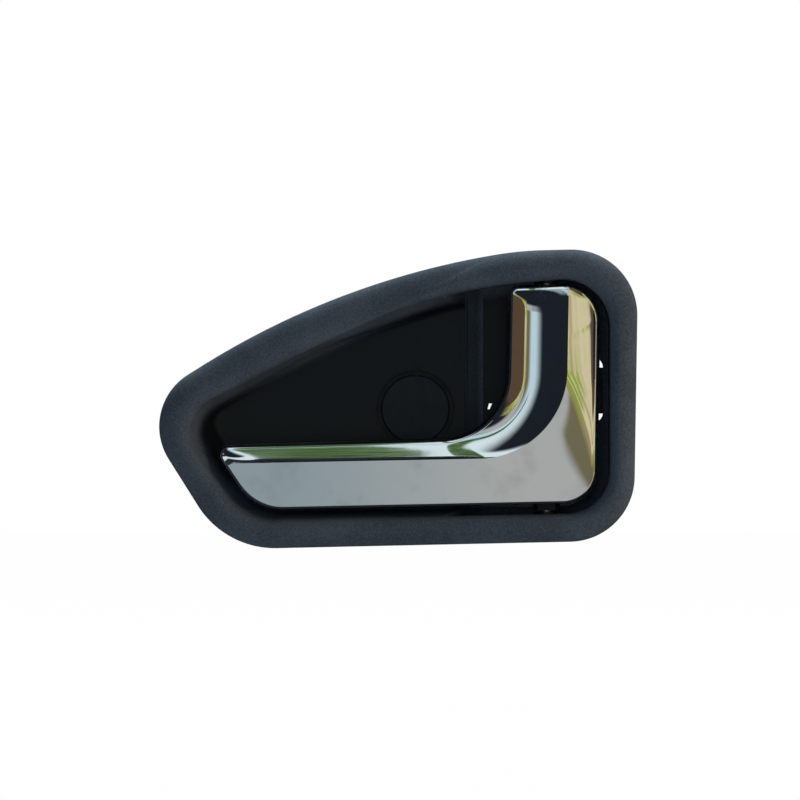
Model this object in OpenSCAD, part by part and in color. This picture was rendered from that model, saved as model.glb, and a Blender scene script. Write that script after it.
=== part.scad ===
// Inside door handle: a moulded surround with a finger bowl, and an L-shaped lever on an upright pin.
// X runs along the door, Z is up and Y points into the door, so the visible face looks towards -Y.
// The origin is the fixing screw's axis where its boss meets the door's inner panel.

/* [Surround] */
// Length of the surround along the door
bezel_len = 160; // [150:1:172]
// Height of the surround
bezel_h = 100; // [94:1:108]
// Distance from the fixing boss's face to the trim that the rim sits on
seat_to_boss = 25.5; // [24.5:0.5:29]
// How far the rim stands proud of the trim
rim_rise = 6.5; // [5.5:0.25:8]
// Height of the rim's square edge on the trim
rim_edge = 1.6; // [1:0.1:2.2]
// Width of the flat foot of the rim
foot_w = 2; // [1.4:0.1:2.6]
// Wall of the moulding
skin = 2.4; // [2:0.1:2.8]

/* [Bowl] */
// Depth of the bowl's floor below the rim
bowl_depth = 23; // [22:0.25:24]
// Extra depth of the floor behind the lever's limb
pocket_drop = 5.5; // [4.5:0.25:6.5]
// Height of the window that the arm passes through
window_h = 21.5; // [20:0.5:24]
// Corner radius of the window
window_r = 3; // [2:0.25:5]

/* [Screw well] */
// Inner diameter of the steel sleeve
screw_hole_d = 5.2; // [4.2:0.1:6.2]
// Wall of the steel sleeve
sleeve_wall = 0.9; // [0.7:0.1:1.2]
// Diameter of the well for the screw's head
well_d = 18; // [16:0.5:19]
// Diameter of the recess for the cover
cover_d = 26.4; // [25:0.2:28]
// Width of the open ring round the cover's face
cover_ring_w = 1.7; // [1.2:0.1:2.2]
// Thickness of the web that the screw clamps
web_t = 2.5; // [2:0.1:3]

/* [Lever] */
// How far the lever's crown lies behind the rim's crown
lever_setback = 1.5; // [1:0.25:2.5]
// Depth of the lever from its crown to its back
lever_depth = 10.7; // [10.2:0.1:11.2]
// Wall of the chrome shell
shell_wall = 1.8; // [1.5:0.1:2]
// Depth of the thumb scoop
scoop_depth = 4.2; // [3.6:0.1:5]
// How far the lever's right edge curves back
roll_depth = 4.8; // [3.5:0.1:6.2]
// Thickness of the carrier's plate
plate_t = 2.4; // [2:0.1:2.6]

/* [Hinge] */
// Diameter of the hinge pin
pin_d = 4; // [3:0.25:4.5]
// Outer diameter of the carrier's barrel
barrel_d = 8.4; // [7.8:0.1:8.6]
// How far the pin's axis lies behind the lever's crown
pin_behind_crown = 12.5; // [12.2:0.1:12.8]
// Length of the bosses that hold the bushes
boss_len = 4.8; // [4:0.2:5.4]
// Thickness of each bush's collar
collar_t = 0.9; // [0.7:0.05:1]
// Furthest that the lever opens, in degrees
open_angle = 35; // [28:1:36]

/* [Spring] */
// Wire diameter
wire_d = 1.2; // [0.9:0.05:1.3]
// Whole turns before the legs
coil_turns = 4; // [3:1:5]
// Rise per turn
coil_pitch = 1.6; // [1.4:0.05:1.8]

/* [Rear arm] */
// Width of the arm and its lug
arm_w = 15.6; // [14:0.2:16]
// Thickness of the arm
arm_t = 5; // [4:0.25:5.5]
// How far the arm's near face lies beside the pin's axis
arm_side = 2.5; // [2.3:0.1:3]
// Distance from the pin to the rod clip's axis
arm_reach = 34; // [32:0.5:37]
// Thickness of the rest stop's rubber
rest_pad_t = 1.8; // [1.2:0.1:2.4]
// Thickness of the open stop's rubber
open_pad_t = 2; // [1.5:0.1:2.5]
// Diameter of the latch rod that the clip takes
rod_d = 3.6; // [3:0.1:4]

/* [Fixings] */
// Length of the tabs behind the trim face
tab_len = 9; // [8:0.5:11]
// Thickness of the tabs
tab_t = 1.6; // [1.3:0.1:1.9]
// Thickness of the clips' spring steel
clip_t = 0.5; // [0.4:0.05:0.6]

/* [Hidden] */
$fn = 48;

// The outlines are drawn for a surround of this length and height, as corners [x, z, radius]
drawn = [160, 100];
outer_corners = [[-63.8, -47, 30.5], [-93.8, 0.7, 20.5], [-26.3, 42.9, 268], [35, 53.2, 115],
                 [74.8, 54.1, 22], [73.2, -44, 22]];
inner_corners = [[-57.4, -37.3, 18.5], [-81.4, -3.2, 12.5], [-33.7, 21, 159], [11.9, 41, 161],
                 [65.3, 44.7, 16], [65.4, -34.9, 15]];
floor_corners = [[-50.5, -33.8, 14], [-70.5, -2.5, 6], [-30, 21.5, 150], [14, 35, 110],
                 [62.8, 42, 14], [62.8, -33.2, 12]];
lever_corners = [[-53.8, -33.8, 18], [-68.1, -12.8, 2.9], [30.8, -10, 23], [31.9, 40.6, 2.4],
                 [61.5, 41.9, 10.5], [60.4, -31.4, 11.5]];
ridge_corners = [[-65.4, -17, 1], [50.4, -15.8, 30], [51.4, 40.8, 1]];

kx = bezel_len / drawn.x;
kz = bezel_h / drawn.y;
fitted = function(list) [for (c = list) [c.x * kx, c.y * kz, c.z * min(kx, kz)]];

// Places along Y
seat_y = -seat_to_boss;
crown_y = seat_y - rim_rise;
floor_y = crown_y + bowl_depth;
pocket_y = floor_y + pocket_drop;
lever_y = crown_y + lever_setback;
lever_back = lever_y + lever_depth;
hinge_y = lever_y + pin_behind_crown;
plate_front = lever_back - plate_t;

// Small fixed gaps and edges
run_gap = 0.03;
seat_gap = 0.3;
slip_gap = 0.05;
eps = 0.01;

// Point lists
function xz(c) = [c.x, c.y];
function unit(v) = v / norm(v);
function mix(a, b, t) = a + (b - a) * t;
function mix_rings(a, b, t) = [for (i = [0:len(a) - 1]) mix(a[i], b[i], t)];
function arc_between(a, q, c, r, n) =
    let (ua = unit(a - q), uc = unit(c - q), half = acos(ua * uc) / 2,
         centre = q + unit(ua + uc) * r / sin(half),
         s = q + ua * r / tan(half) - centre, e = q + uc * r / tan(half) - centre,
         from = atan2(s.y, s.x), turn = (atan2(e.y, e.x) - from + 540) % 360 - 180)
    [for (k = [0:n]) centre + r * [cos(from + turn * k / n), sin(from + turn * k / n)]];
function corner_arc(list, i, n) =
    let (m = len(list))
    arc_between(xz(list[(i + m - 1) % m]), xz(list[i]), xz(list[(i + 1) % m]), list[i].z, n);
function outline(list, n = 8) = [for (i = [0:len(list) - 1]) each corner_arc(list, i, n)];
function reversed(list) = [for (i = [len(list) - 1:-1:0]) list[i]];
// Outward offset of a closed clockwise ring
function grow(pts, d) =
    let (m = len(pts))
    [for (i = [0:m - 1])
        let (t1 = unit(pts[i] - pts[(i + m - 1) % m]), t2 = unit(pts[(i + 1) % m] - pts[i]),
             t = unit(t1 + t2))
        pts[i] + [-t.y, t.x] * d / max(0.5, t * t2)];
function at_y(pts, y) = [for (p = pts) [p.x, y, p.y]];
// Points at equal steps along a path
function lengths(p) = [for (i = 0, s = 0; i < len(p);
    s = s + (i < len(p) - 1 ? norm(p[i + 1] - p[i]) : 0), i = i + 1) s];
function piece_at(s, d) = min(len(s) - 2, max([for (j = [0:len(s) - 2]) s[j] <= d + 1e-9 ? j : 0]));
function evenly(p, n) =
    let (s = lengths(p), whole = s[len(s) - 1])
    [for (k = [0:n]) let (d = whole * k / n, i = piece_at(s, d))
        mix(p[i], p[i + 1], (d - s[i]) / (s[i + 1] - s[i]))];
// Height where a ring crosses the vertical line at x, on its upper or lower side
function ring_z(pts, x, upper) =
    let (m = len(pts), hits = [for (i = [0:m - 1]) let (a = pts[i], b = pts[(i + 1) % m])
        if ((a.x - x) * (b.x - x) <= 0 && a.x != b.x) mix(a.y, b.y, (x - a.x) / (b.x - a.x))])
    upper ? max(hits) : min(hits);

outer_ring = outline(fitted(outer_corners));
inner_ring = outline(fitted(inner_corners));
floor_ring = outline(fitted(floor_corners));

// Joins rings of equal count into one closed solid with flat ends
module loft(rings) {
    n = len(rings[0]);
    last = (len(rings) - 1) * n;
    polyhedron([for (r = rings) each r],
        concat([[for (i = [n - 1:-1:0]) i]],
               [for (k = [0:len(rings) - 2], i = [0:n - 1])
                   let (a = k * n, b = a + n, j = (i + 1) % n) [a + i, a + j, b + j, b + i]],
               [[for (i = [0:n - 1]) last + i]]));
}
// A flat shape in X and Z, extruded along Y
module along_y(y0, y1) {
    translate([0, y1, 0]) rotate([90, 0, 0]) linear_extrude(y1 - y0) children();
}
module tube_y(r, y0, y1) {
    translate([0, y0, 0]) rotate([-90, 0, 0]) cylinder(r = r, h = y1 - y0);
}
module block(low, high) {
    translate(low) cube(high - low);
}

// Rim and bowl
crown_at = 0.62;
roll = 0.62 * rim_rise;
roll_turn = 78;
rim_front = [for (k = [0:6]) let (t = 15 * k)
    at_y(mix_rings(outer_ring, inner_ring, crown_at * (1 - cos(t))),
         seat_y - rim_edge - (rim_rise - rim_edge) * sin(t))];
rim_roll = [for (k = [1:4]) let (t = roll_turn * k / 4)
    at_y(mix_rings(outer_ring, inner_ring, crown_at + (1 - crown_at) * sin(t) / sin(roll_turn)),
         crown_y + roll * (1 - cos(t)))];
floor_fillet = 2;
bowl_wall = [at_y(grow(mix_rings(inner_ring, floor_ring, 0.93), 0), floor_y - floor_fillet),
             at_y(grow(floor_ring, -0.4), floor_y - 0.25 * floor_fillet),
             at_y(grow(floor_ring, -0.8 * floor_fillet), floor_y)];
under = function(share, y) at_y(mix_rings(outer_ring, inner_ring, share), y);
bowl_back = [at_y(grow(floor_ring, -0.6), floor_y + skin),
             at_y(grow(floor_ring, 0.75 * skin), floor_y + skin - floor_fillet),
             at_y(grow(mix_rings(inner_ring, floor_ring, 0.12), skin), seat_y),
             at_y(grow(inner_ring, 0.8 * skin), crown_y + 1.4 * skin),
             under(crown_at, crown_y + skin),
             under(0.4 * crown_at, crown_y + 1.35 * skin),
             at_y(grow(outer_ring, -foot_w), seat_y - 0.6 * rim_edge),
             at_y(grow(outer_ring, -foot_w), seat_y),
             at_y(outer_ring, seat_y)];

module bezel_shell() {
    loft(concat(bowl_back, rim_front, rim_roll, bowl_wall));
}

// Deep pocket behind the lever's limb: its plan follows the rim, its left end is a ramp
pocket_gap = 0.1;
pocket_ring = grow(inner_ring, -pocket_gap);
ramp_x = [9 * kx, 16.5 * kx, 21.6 * kx];
far_x = 100 * kx;
module right_of(line) {
    translate([0, 0, -far_x]) linear_extrude(2 * far_x)
        polygon(concat(line, [[far_x, line[len(line) - 1].y], [far_x, line[0].y]]));
}
module pocket_space() {
    front = crown_y + roll;
    intersection() {
        along_y(front, pocket_y) polygon(pocket_ring);
        right_of([[ramp_x[0], front], [ramp_x[1], floor_y], [ramp_x[2], pocket_y]]);
    }
}
// Walls round the pocket, kept out of the bowl itself
module pocket_walls() {
    front = seat_y - 0.5;
    back = pocket_y + skin;
    difference() {
        intersection() {
            along_y(front, back) polygon(grow(pocket_ring, skin));
            right_of([[ramp_x[0] - skin, front], [ramp_x[1] - skin, floor_y + skin],
                      [ramp_x[2] - skin, back]]);
        }
        loft([at_y(grow(floor_ring, skin / 2), floor_y + skin / 2),
              at_y(grow(inner_ring, skin / 2), crown_y + roll)]);
    }
}
hinge_x = 44 * kx;
wall_top = ring_z(pocket_ring, hinge_x, true);
wall_low = ring_z(pocket_ring, hinge_x, false);

// Window, and the small core slot left of it
window_right = 63.4 * kx;
window_left = 34 * kx;
window_z = 6.5 * kz;
slot_x = [24.5 * kx, 25.9 * kx];
slot_z = [-0.4 * kz, 2.4 * kz];
module window() {
    along_y(floor_y, seat_gap)
        translate([(window_left + window_right) / 2, window_z])
            offset(window_r)
                square([window_right - window_left - 2 * window_r, window_h - 2 * window_r], center = true);
    block([slot_x[0], floor_y, slot_z[0]], [slot_x[1], seat_gap, slot_z[1]]);
}
// Shallow rib beside the slot
module guard_rib() {
    block([slot_x[0] - 1.6, pocket_y - 0.8, slot_z[1]], [slot_x[0] - 0.8, pocket_y + 0.5, 28.3 * kz]);
}

// Screw well with the cover's ledge
ledge_y = floor_y + 2;
well_wall = 2.2;
module well_outside() {
    tube_y(cover_d / 2 + 2, floor_y + 1, ledge_y + 2);
    tube_y(well_d / 2 + well_wall, floor_y + 1, 0);
}
module well_inside() {
    tube_y(cover_d / 2, floor_y - 1, ledge_y);
    tube_y(well_d / 2, floor_y - 1, -web_t);
    tube_y(screw_hole_d / 2 + sleeve_wall + run_gap, -web_t - 1, 1);
    // Pry notch at the top of the recess
    translate([-1, floor_y - 1, cover_d / 2 - 0.6]) cube([2.6, 2.2, 1.4]);
}

// Hinge bosses in the top and bottom walls
bush_r = pin_d / 2 + 1.2;
boss_r = bush_r + 1.6;
collar_r = bush_r + 0.9;
module at_hinge() {
    translate([hinge_x, hinge_y, 0]) children();
}
module hinge_bosses() {
    at_hinge() {
        translate([0, 0, wall_top + 0.5]) cylinder(r = boss_r, h = boss_len - 0.5);
        translate([0, 0, wall_low - boss_len]) cylinder(r = boss_r, h = boss_len - 0.5);
    }
}
module hinge_bores() {
    collar_space = collar_t + 1.5;
    at_hinge() {
        // Flats for the collars
        translate([0, 0, wall_top - collar_space]) cylinder(r = collar_r + seat_gap, h = collar_space);
        translate([0, 0, wall_low]) cylinder(r = collar_r + seat_gap, h = collar_space);
        translate([0, 0, wall_top - 2]) cylinder(r = bush_r + run_gap, h = boss_len + 4);
        translate([0, 0, wall_low - boss_len - 2]) cylinder(r = bush_r + run_gap, h = boss_len + 4);
    }
}

// Anchor that the spring's fixed leg bears on
coil_r = pin_d / 2 + 0.7 + wire_d / 2;
coil_low = 19.4 * kz;
coil_high = coil_low + (coil_turns + 0.75) * coil_pitch;
leg_x = hinge_x - coil_r;
module spring_anchor() {
    block([leg_x - wire_d / 2 - 3.4, pocket_y - 5.5, coil_high - 2.5],
          [leg_x - wire_d / 2 - slip_gap, pocket_y + 0.5, coil_high + 2.5]);
}

// Slanted rib behind the floor that stops the open arm
arm_mid = 6.3 * kz;
stop_to = arm_reach - 6.5;
stop_from = stop_to - 6;
stop_w = 8;
stop_gap = 0.1;
open_face = arm_side - stop_gap;
stop_rib_t = 3;
stop_z = arm_mid + 2.2;
module in_open_arm() {
    at_hinge() rotate([0, 0, open_angle]) children();
}
module stop_rib() {
    intersection() {
        in_open_arm() block([open_face - open_pad_t - stop_rib_t, stop_from - 8, stop_z - stop_w / 2],
                            [open_face - open_pad_t, stop_to, stop_z + stop_w / 2]);
        block([-far_x, pocket_y + skin - 0.6, -far_x], [far_x, far_x, far_x]);
    }
}

// Tabs, hooks and ribs behind the surround
tab_w = 9;
tab_inset = 4;
clip_places = [21, 30, 51];
hook_places = [40, 48];
hook_reach = 2;
function rim_angle(i) =
    let (m = len(outer_ring), t = outer_ring[(i + 1) % m] - outer_ring[(i + m - 1) % m]) atan2(t.y, t.x);
// Puts X along the rim, Y into the door and Z outwards
module on_rim(i) {
    p = outer_ring[i];
    translate([p.x, 0, p.y]) rotate([0, -rim_angle(i), 0]) translate([0, 0, -tab_inset]) children();
}
module clip_tab(i) {
    on_rim(i) block([-tab_w / 2, crown_y + 0.6 * skin, -tab_t / 2],
                    [tab_w / 2, seat_y + tab_len, tab_t / 2]);
}
module hook(i) {
    on_rim(i) {
        block([-4, crown_y + 0.6 * skin, -1.2], [4, seat_y + 6.5, 1.2]);
        block([-4, seat_y + 4.3, -1.2], [4, seat_y + 6.5, hook_reach]);
    }
}
rib_h = 3;
rib_t = 1.6;
module floor_ribs() {
    back = floor_y + skin;
    block([-52 * kx, back - 0.8, 1.2], [-well_d / 2 - 1, back + rib_h, 1.2 + rib_t]);
    block([-rib_t / 2, back - 0.8, well_d / 2 + 1], [rib_t / 2, back + rib_h, 27 * kz]);
    block([-rib_t / 2, back - 0.8, -30 * kz], [rib_t / 2, back + rib_h, -well_d / 2 - 1]);
    block([-38.8 * kx, back - 0.8, -28 * kz], [-38.8 * kx + rib_t, back + rib_h, 13 * kz]);
}

module bezel() {
    color([0.17, 0.19, 0.21]) {
        difference() {
            union() {
                bezel_shell();
                pocket_walls();
                well_outside();
                hinge_bosses();
                stop_rib();
                floor_ribs();
                for (i = clip_places) clip_tab(i);
                for (i = hook_places) hook(i);
            }
            pocket_space();
            window();
            well_inside();
            hinge_bores();
        }
        guard_rib();
        spring_anchor();
    }
}

// Chrome shell: rails along the inner edge, the ridge and the outer edge, with sections across
lever_fit = fitted(lever_corners);
ridge_fit = fitted(ridge_corners);
arm_steps = 18;
bend_steps = 18;
limb_steps = 12;
steps = arm_steps + bend_steps + limb_steps;
band = [0.16, 0.34, 0.52, 0.7, 0.86, 1];
face = [0.12, 0.3, 0.5, 0.7, 0.86, 1];
cells = len(band) + len(face);
tip_arc = corner_arc(lever_fit, 1, 8);
tip_end = corner_arc(lever_fit, 1, 2 * cells);
elbow_arc = corner_arc(lever_fit, 2, bend_steps);
limb_arc = corner_arc(lever_fit, 3, 3);
shoulder_arc = reversed(corner_arc(lever_fit, 4, 8));
heel_arc = reversed(corner_arc(lever_fit, 5, 8));
chin_arc = reversed(corner_arc(lever_fit, 0, 6));
ridge_arc = corner_arc(ridge_fit, 1, bend_steps);
function last(list) = list[len(list) - 1];
// Points between two places, without the second one
function straight(a, b, n) = [for (k = [0:n - 1]) mix(a, b, k / n)];
function where_x(a, b, x) = mix(a, b, (x - a.x) / (b.x - a.x));
function where_z(a, b, z) = mix(a, b, (z - a.y) / (b.y - a.y));
split = 14 * kx;
under_mid = where_x(last(chin_arc), heel_arc[0], split);
side_mid = where_z(last(heel_arc), shoulder_arc[0], split);
ridge_split = where_x(xz(ridge_fit[0]), ridge_arc[0], 11 * kx);
inner_rail = concat([for (k = [4:7]) tip_arc[k]], straight(last(tip_arc), elbow_arc[0], arm_steps - 4),
    elbow_arc, [for (k = [1:9]) mix(last(elbow_arc), limb_arc[0], k / 9)], [for (k = [1:3]) limb_arc[k]]);
outer_rail = concat(straight(tip_arc[0], chin_arc[0], 3), chin_arc,
    [for (k = [1:8]) mix(last(chin_arc), under_mid, k / 9)],
    straight(under_mid, heel_arc[0], 5), heel_arc, [for (k = [1:5]) mix(last(heel_arc), side_mid, k / 5)],
    [for (k = [1:4]) mix(side_mid, shoulder_arc[0], k / 4)], [for (k = [1:8]) shoulder_arc[k]]);
ridge_rail = concat(straight(xz(ridge_fit[0]), ridge_split, arm_steps),
    evenly(concat([ridge_split], ridge_arc), bend_steps),
    [for (k = [1:limb_steps]) mix(last(ridge_arc), xz(ridge_fit[2]), k / limb_steps)]);

// Closed rim of the shell, clockwise from the tip along the inner rail and back along the outer rail
lever_ring = concat(inner_rail,
    [for (k = [1:cells - 1]) mix(inner_rail[steps], outer_rail[steps], k / cells)], reversed(outer_rail),
    [for (k = [1:cells - 1]) tip_end[k]]);
ring_count = 2 * (steps + cells);
function ring_index(i, j) = j == 0 ? i : i == steps ? steps + j
    : j == cells ? 2 * steps + cells - i : ring_count - j;
function rail_step(k) = k <= steps ? k : k <= steps + cells ? steps
    : k <= 2 * steps + cells ? 2 * steps + cells - k : 0;
function cross_step(k) = k <= steps ? 0 : k <= steps + cells ? k - steps
    : k <= 2 * steps + cells ? cells : ring_count - k;
function on_edge(i, j) = i == 0 || i == steps || j == 0 || j == cells;

function smooth(t) = let (u = min(1, max(0, t))) u * u * (3 - 2 * u);
band_drop = 3.4;
face_drop = 1.6;
edge_fall = 0.9;
end_fall = 0.5;
limb_share = function(i) smooth((i - arm_steps) / bend_steps);
roll_share = function(i) smooth((i - arm_steps - 0.45 * bend_steps) / (0.6 * bend_steps));
end_close = function(i) smooth((steps - i) / 3.5);
scoop_close = function(i) smooth((steps - i) / 4);
// Depth below the crown: a plain band and face along the arm, a scoop and a rolled side on the limb
scoop_shape = function(s) 1 - pow(abs(2 * pow(s, 1.3) - 1), 2.2);
cove_shape = function(s) 1 - pow(1 - s, 1.8);
roll_shape = function(s) 0.64 * s + 0.36 * pow(s, 2.5);
function depth_band(i, s) =
    mix(band_drop * cove_shape(s), scoop_close(i) * scoop_depth * scoop_shape(s) + edge_fall * s,
        limb_share(i));
function depth_face(i, s) =
    mix(face_drop * s, mix(end_fall, roll_depth * roll_shape(s), end_close(i)), roll_share(i));
tip_fall = function(i) 1.2 * pow(max(0, 1 - i / 3), 2);
function depth_at(i, j) = tip_fall(i) + (j <= len(band)
    ? depth_band(i, j == len(band) ? 0 : band[len(band) - 1 - j])
    : depth_face(i, face[j - len(band) - 1]));
function across(i, j, a, r, b) = j <= len(band)
    ? mix(r, a, j == len(band) ? 0 : band[len(band) - 1 - j])
    : mix(r, b, face[j - len(band) - 1]);
function skin_grid(ring, wall) = [for (i = [0:steps], j = [0:cells])
    let (a = ring[i], b = ring[ring_index(i, cells)],
         p = on_edge(i, j) ? ring[ring_index(i, j)] : across(i, j, a, ridge_rail[i], b))
    [p.x, lever_y + depth_at(i, j) + wall, p.y]];
edge_r = 0.7;
lip_w = 0.8;
lip_h = 1;
draft_w = 0.3;
ring_depths = [for (k = [0:ring_count - 1]) lever_y + depth_at(rail_step(k), cross_step(k))];
function ring_at_depth(ring, more) =
    [for (k = [0:ring_count - 1]) [ring[k].x, ring_depths[k] + more, ring[k].y]];
// Two triangles for each cell of a grid, or for each step round two rings of points
function grid_faces(first, flip) =
    [for (i = [0:steps - 1], j = [0:cells - 1])
        let (a = first + i * (cells + 1) + j, b = a + cells + 1)
        each flip ? [[a, b + 1, b], [a, a + 1, b + 1]] : [[a, b, b + 1], [a, b + 1, a + 1]]];
function belt_faces(a, b) =
    [for (k = [0:ring_count - 1]) let (n = (k + 1) % ring_count) [b[k], b[n], a[n], a[k]]];
module shell_body() {
    cavity_ring = grow(lever_ring, -shell_wall);
    front = skin_grid(grow(lever_ring, -edge_r), 0);
    back = skin_grid(cavity_ring, shell_wall);
    sides = [ring_at_depth(grow(lever_ring, -0.3 * edge_r), 0.3 * edge_r),
             ring_at_depth(lever_ring, edge_r),
             at_y(grow(lever_ring, draft_w), lever_back - lip_h - 0.6),
             at_y(grow(lever_ring, lip_w), lever_back - lip_h),
             at_y(grow(lever_ring, lip_w), lever_back),
             at_y(cavity_ring, lever_back)];
    g = len(front);
    grid_edge = [for (k = [0:ring_count - 1]) rail_step(k) * (cells + 1) + cross_step(k)];
    belts = concat([grid_edge],
                   [for (r = [0:len(sides) - 1]) [for (k = [0:ring_count - 1]) 2 * g + r * ring_count + k]],
                   [[for (e = grid_edge) g + e]]);
    polyhedron(concat(front, back, [for (r = sides) each r]),
        concat(grid_faces(0, false), grid_faces(g, true),
               [for (r = [0:len(belts) - 2]) each belt_faces(belts[r], belts[r + 1])]));
}

// Self-tapping screws through the carrier into the shell's posts
screw_places = [[-44 * kx, -23.5 * kz], [-10 * kx, -23.8 * kz], [24 * kx, -22.5 * kz], [53 * kx, 33 * kz]];
post_front = lever_y + 1.9;
post_r = 2.3;
shank_r = 1.2;
tip_gap = 0.8;
head_r = 2.5;
screw_head_t = 1.6;
recess_w = 3;
recess_t = 0.9;
recess_cut = 0.6;
notch_gap = 0.4;
notch_h = 6;
module shell_posts() {
    for (p = screw_places) translate([p.x, 0, p.y]) tube_y(post_r, post_front, plate_front - slip_gap);
}
module lever_shell() {
    color([0.8, 0.82, 0.84]) difference() {
        union() {
            shell_body();
            shell_posts();
        }
        for (p = screw_places) translate([p.x, 0, p.y])
            tube_y(shank_r + run_gap, post_front + 2 - tip_gap, lever_back);
        // Notches in the top and bottom walls for the barrel
        half = barrel_d / 2 + notch_gap;
        for (z = [wall_low, wall_top - notch_h])
            block([hinge_x - half, hinge_y - half, z], [hinge_x + half, lever_back + 1, z + notch_h]);
    }
}
module shell_screw(p) {
    color([0.6, 0.6, 0.62]) translate([p.x, 0, p.y]) {
        tube_y(shank_r, post_front + 2, lever_back + eps);
        difference() {
            tube_y(head_r, lever_back, lever_back + screw_head_t);
            for (a = [0, 90]) rotate([0, a, 0])
                block([-recess_w / 2, lever_back + screw_head_t - recess_t, -recess_cut / 2],
                      [recess_w / 2, lever_back + screw_head_t + 1, recess_cut / 2]);
        }
    }
}

// Carrier: plate in the shell, barrel round the pin, arm through the window, lug and rod tongue
barrel_top = wall_top - collar_t - seat_gap;
barrel_low = wall_low + collar_t + seat_gap;
gap_low = coil_low - wire_d / 2 - 0.5;
gap_high = coil_high + wire_d / 2 + 0.5;
leg_y = hinge_y + coil_r;
post_x = hinge_x - 8.6;
arm_low = arm_mid - arm_w / 2;
arm_high = arm_mid + arm_w / 2;
arm_x = hinge_x + arm_side + arm_t / 2;
arm_end = hinge_y + arm_reach;
gusset_t = 2;
lug_front = pocket_y + skin + slip_gap + rest_pad_t;
lug_t = 3;
lug_end = window_right + 3.2;
tongue_t = 4;
tongue_wall = 1.7;
pivot_r = 2.4;
arm_clear = 6.2;
module lever_carrier() {
    color([0.1, 0.1, 0.11]) difference() {
        union() {
            difference() {
                union() {
                    along_y(plate_front, lever_back)
                        offset(delta = -shell_wall - seat_gap) polygon(lever_ring);
                    // Barrel, which starts halfway through the plate
                    intersection() {
                        at_hinge() translate([0, 0, barrel_low])
                            cylinder(d = barrel_d, h = barrel_top - barrel_low);
                        block([-far_x, plate_front + plate_t / 2, -far_x], [far_x, far_x, far_x]);
                    }
                }
                // Clearance round the spring
                block([hinge_x - coil_r - wire_d - 1, plate_front - 1, gap_low],
                      [hinge_x + barrel_d / 2 + 1, hinge_y + barrel_d, gap_high]);
            }
            // Post that takes the spring's moving leg
            block([post_x - 1.5, lever_back - 0.5, coil_low - 1.6],
                  [post_x + 1.5, leg_y + wire_d / 2 + 1.4, coil_low + 1.6]);
            // Arm, lug and tongue
            block([arm_x - arm_t / 2, lever_back - 0.5, arm_low],
                  [arm_x + arm_t / 2, arm_end - arm_clear, arm_high]);
            block([arm_x, lug_front, arm_low], [lug_end, lug_front + lug_t, arm_high]);
            block([arm_x - arm_t / 2, arm_end - arm_clear - 1, arm_mid - tongue_t / 2],
                  [arm_x + arm_t / 2, arm_end, arm_mid + tongue_t / 2]);
            translate([arm_x, arm_end, arm_mid - tongue_t / 2])
                cylinder(r = pivot_r + tongue_wall, h = tongue_t);
            // Gussets between the plate and the arm
            for (z = [arm_low, arm_high - gusset_t])
                translate([0, 0, z]) linear_extrude(gusset_t)
                    polygon([[hinge_x - 9, lever_back - 0.5], [arm_x + 9, lever_back - 0.5],
                             [arm_x + arm_t / 2 - 1, hinge_y + 10], [arm_x - arm_t / 2 + 1, hinge_y + 10]]);
        }
        at_hinge() translate([0, 0, barrel_low - 1])
            cylinder(r = pin_d / 2 + run_gap, h = barrel_top - barrel_low + 2);
        translate([arm_x, arm_end, arm_mid - 5]) cylinder(r = pivot_r + run_gap, h = 10);
        for (p = screw_places) translate([p.x, 0, p.y])
            tube_y(shank_r + 0.2, plate_front - 1, lever_back + 1);
        translate([post_x, leg_y, coil_low]) rotate([0, 90, 0])
            cylinder(r = wire_d / 2 + slip_gap, h = 8, center = true);
    }
}

// Pin, ring and bushes
head_t = 1.2;
ring_t = 0.8;
module hinge_pin() {
    low = wall_low - boss_len - seat_gap - ring_t - 1.2;
    color([0.72, 0.73, 0.75]) at_hinge() {
        translate([0, 0, low + 0.6]) cylinder(d = pin_d, h = wall_top + boss_len + head_t - low - 0.6);
        translate([0, 0, low]) cylinder(d1 = pin_d - 1, d2 = pin_d, h = 0.6);
        translate([0, 0, wall_top + boss_len + slip_gap]) cylinder(d = pin_d + 2.8, h = head_t);
    }
}
module pin_ring() {
    color([0.45, 0.45, 0.47]) at_hinge()
    translate([0, 0, wall_low - boss_len - seat_gap - ring_t]) difference() {
        cylinder(d = pin_d + 4.4, h = ring_t);
        translate([0, 0, -1]) cylinder(r = pin_d / 2 + run_gap, h = ring_t + 2);
        for (a = [0:60:300]) rotate([0, 0, a])
            translate([pin_d / 2 + 0.4, -0.25, -1]) cube([1, 0.5, ring_t + 2]);
    }
}
module bush(z, dir) {
    color([0.09, 0.09, 0.1]) at_hinge() translate([0, 0, z]) rotate([dir < 0 ? 180 : 0, 0, 0])
        rotate_extrude() polygon([[pin_d / 2 + run_gap, -collar_t], [collar_r, -collar_t],
            [collar_r, -slip_gap], [bush_r, -slip_gap], [bush_r, boss_len - 0.2],
             [pin_d / 2 + run_gap, boss_len - 0.2]]);
}
module upper_bush() {
    bush(wall_top, 1);
}
module lower_bush() {
    bush(wall_low, -1);
}

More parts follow.
